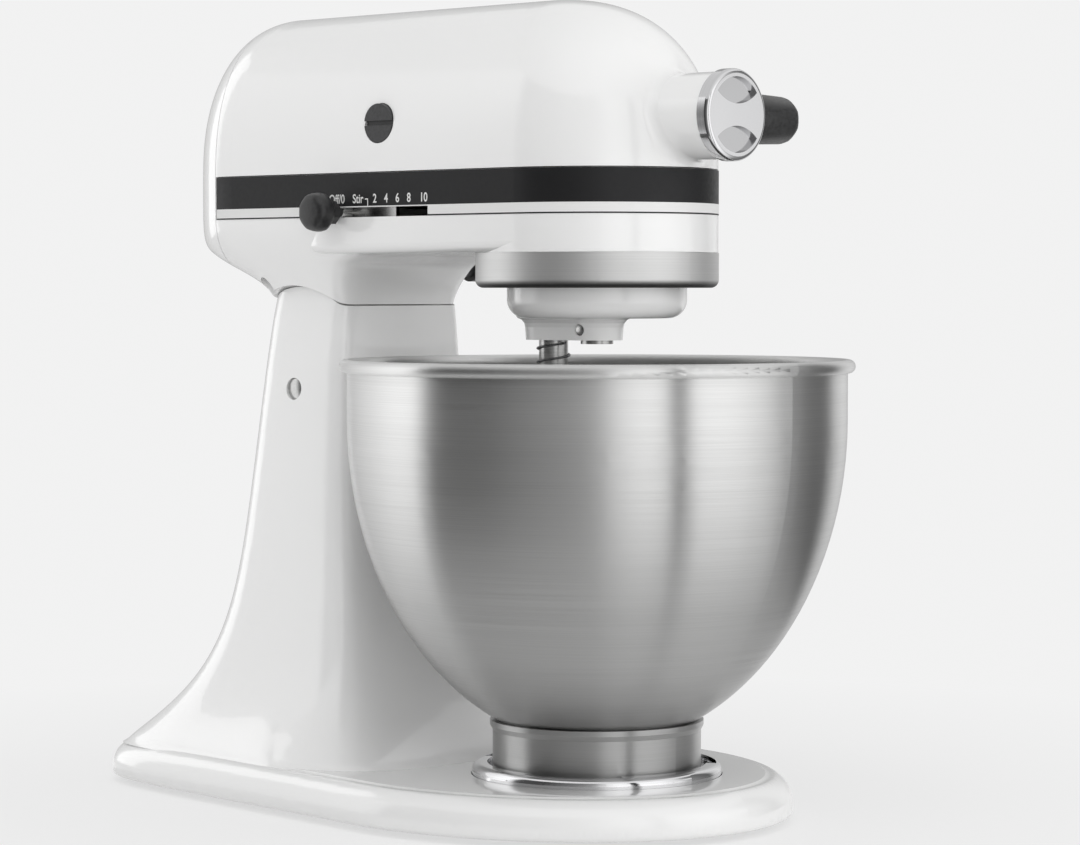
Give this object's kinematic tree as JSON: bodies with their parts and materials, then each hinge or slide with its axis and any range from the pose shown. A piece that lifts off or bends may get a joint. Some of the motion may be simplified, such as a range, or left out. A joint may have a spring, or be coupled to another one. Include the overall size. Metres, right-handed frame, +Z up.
{
  "type": "stand mixer",
  "caption": "Tilt-head stand mixer with a planetary beater drive, a lock-in steel bowl, a speed lever and an attachment hub.",
  "frame": {"origin": "on the table under the middle of the bounding box", "axes": "+X towards the nose, +Y to the mixer's own left, +Z up"},
  "size_m": [0.3608, 0.2216, 0.353],
  "materials": {
    "white_enamel": "gloss white enamel",
    "foot_rubber": "matt black",
    "clamp_chrome": "polished",
    "screw_steel": "plain",
    "hinge_steel": "ground",
    "bowl_steel": "brushed",
    "band_black": "gloss black",
    "knob_black": "satin black",
    "plug_black": "matt black",
    "ring_steel": "brushed",
    "hub_chrome": "polished",
    "shaft_steel": "ground",
    "spring_steel": "drawn wire",
    "gear_steel": "machined",
    "wheel_bronze": "machined bronze",
    "bearing_bronze": "sintered bronze",
    "bracket_alloy": "die cast",
    "board_plastic": "phenolic",
    "motor_iron": "laminated",
    "copper": "enamelled copper",
    "fan_plastic": "moulded",
    "brush_plastic": "moulded black",
    "holder_plastic": "moulded",
    "carbon": "pressed carbon"
  },
  "bodies": {
    "base": {"pedestal": "white_enamel", "rubber_feet": "foot_rubber", "bowl_clamp_plate": "clamp_chrome", "clamp_plate_screws": "screw_steel", "hinge_pin": "hinge_steel", "hinge_set_screw": "screw_steel", "height_adjusting_screw": "screw_steel"},
    "head": {"lower_housing": "white_enamel", "upper_housing": "white_enamel", "rear_cover": "white_enamel", "rear_cover_screw": "screw_steel", "cord_gland": "plug_black", "housing_screws": "screw_steel", "underside_plug": "plug_black", "trim_band": "band_black", "drip_ring": "ring_steel", "ring_gear": "gear_steel", "centre_bearing": "bearing_bronze", "gear_bracket": "bracket_alloy", "hub_bushing": "bearing_bronze", "speed_control_board": "board_plastic", "motor_stator": "motor_iron", "stator_windings": "copper", "rear_motor_bearing": "bearing_bronze", "front_motor_bearing": "bearing_bronze", "brush_cap_right": "brush_plastic", "brush_cap_left": "brush_plastic", "brush_holders": "holder_plastic", "carbon_brushes": "carbon", "brush_springs": "spring_steel"},
    "bowl": {"bowl": "bowl_steel", "bowl_foot": "bowl_steel"},
    "speed_lever": {"speed_lever": "shaft_steel", "speed_knob": "knob_black"},
    "lock_lever": {"lock_shaft": "shaft_steel", "lock_cam": "shaft_steel", "lock_knob": "knob_black"},
    "hub_cap": {"hub_cap": "hub_chrome"},
    "attachment_knob": {"attachment_knob": "knob_black", "attachment_stud": "shaft_steel"},
    "planetary": {"planetary": "white_enamel", "planetary_roll_pin": "shaft_steel", "centre_shaft": "shaft_steel", "centre_gear": "gear_steel"},
    "beater_shaft": {"beater_shaft": "shaft_steel", "beater_spring": "spring_steel", "beater_cross_pin": "shaft_steel", "planet_pinion": "gear_steel"},
    "hub_drive": {"hub_drive_shaft": "shaft_steel", "hub_bevel_gear": "gear_steel"},
    "worm_wheel": {"worm_wheel": "wheel_bronze", "worm_wheel_shaft": "shaft_steel", "drive_pinion": "gear_steel"},
    "armature": {"armature_shaft": "shaft_steel", "armature_core": "motor_iron", "commutator": "copper", "motor_fan": "fan_plastic"}
  },
  "joints": [
    {"name": "head_tilt", "type": "hinge", "parent": "base", "child": "head", "pos_m": [-0.0784, 0, 0.1835], "axis": [0, -1, 0], "range_deg": [0, 48]},
    {"name": "bowl_twist", "type": "hinge", "parent": "base", "child": "bowl", "pos_m": [0.0696, 0, 0.02], "axis": [0, 0, 1], "range_deg": [0, 60]},
    {"name": "speed_slide", "type": "slide", "parent": "head", "child": "speed_lever", "axis": [1, 0, 0], "range_m": [0, 0.045]},
    {"name": "lock_turn", "type": "hinge", "parent": "head", "child": "lock_lever", "pos_m": [-0.0584, 0.05, 0.238], "axis": [0, 1, 0], "range_deg": [0, 60]},
    {"name": "hub_cap_pull", "type": "slide", "parent": "head", "child": "hub_cap", "axis": [1, 0, 0], "range_m": [0, 0.025]},
    {"name": "attachment_knob_turn", "type": "hinge", "parent": "head", "child": "attachment_knob", "pos_m": [0.1286, 0.03, 0.3005], "axis": [0, -1, 0], "range_deg": [0, 360]},
    {"name": "planetary_spin", "type": "hinge", "parent": "head", "child": "planetary", "pos_m": [0.0696, 0, 0.225], "axis": [0, 0, 1], "continuous": true},
    {"name": "beater_spin", "type": "hinge", "parent": "planetary", "child": "beater_shaft", "pos_m": [0.0442, 0, 0.225], "axis": [0, 0, 1], "continuous": true},
    {"name": "hub_spin", "type": "hinge", "parent": "head", "child": "hub_drive", "pos_m": [0.1, 0, 0.3005], "axis": [1, 0, 0], "continuous": true},
    {"name": "worm_wheel_spin", "type": "hinge", "parent": "head", "child": "worm_wheel", "pos_m": [0.02795, 0.02385, 0.28], "axis": [0, 0, 1], "continuous": true},
    {"name": "armature_spin", "type": "hinge", "parent": "head", "child": "armature", "pos_m": [0, 0, 0.3005], "axis": [1, 0, 0], "continuous": true}
  ],
  "couplings": [
    {"joint": "beater_spin", "follows": "planetary_spin", "ratio": -3.1333},
    {"joint": "hub_spin", "follows": "planetary_spin", "ratio": 1},
    {"joint": "worm_wheel_spin", "follows": "planetary_spin", "ratio": -3},
    {"joint": "armature_spin", "follows": "planetary_spin", "ratio": 27}
  ]
}
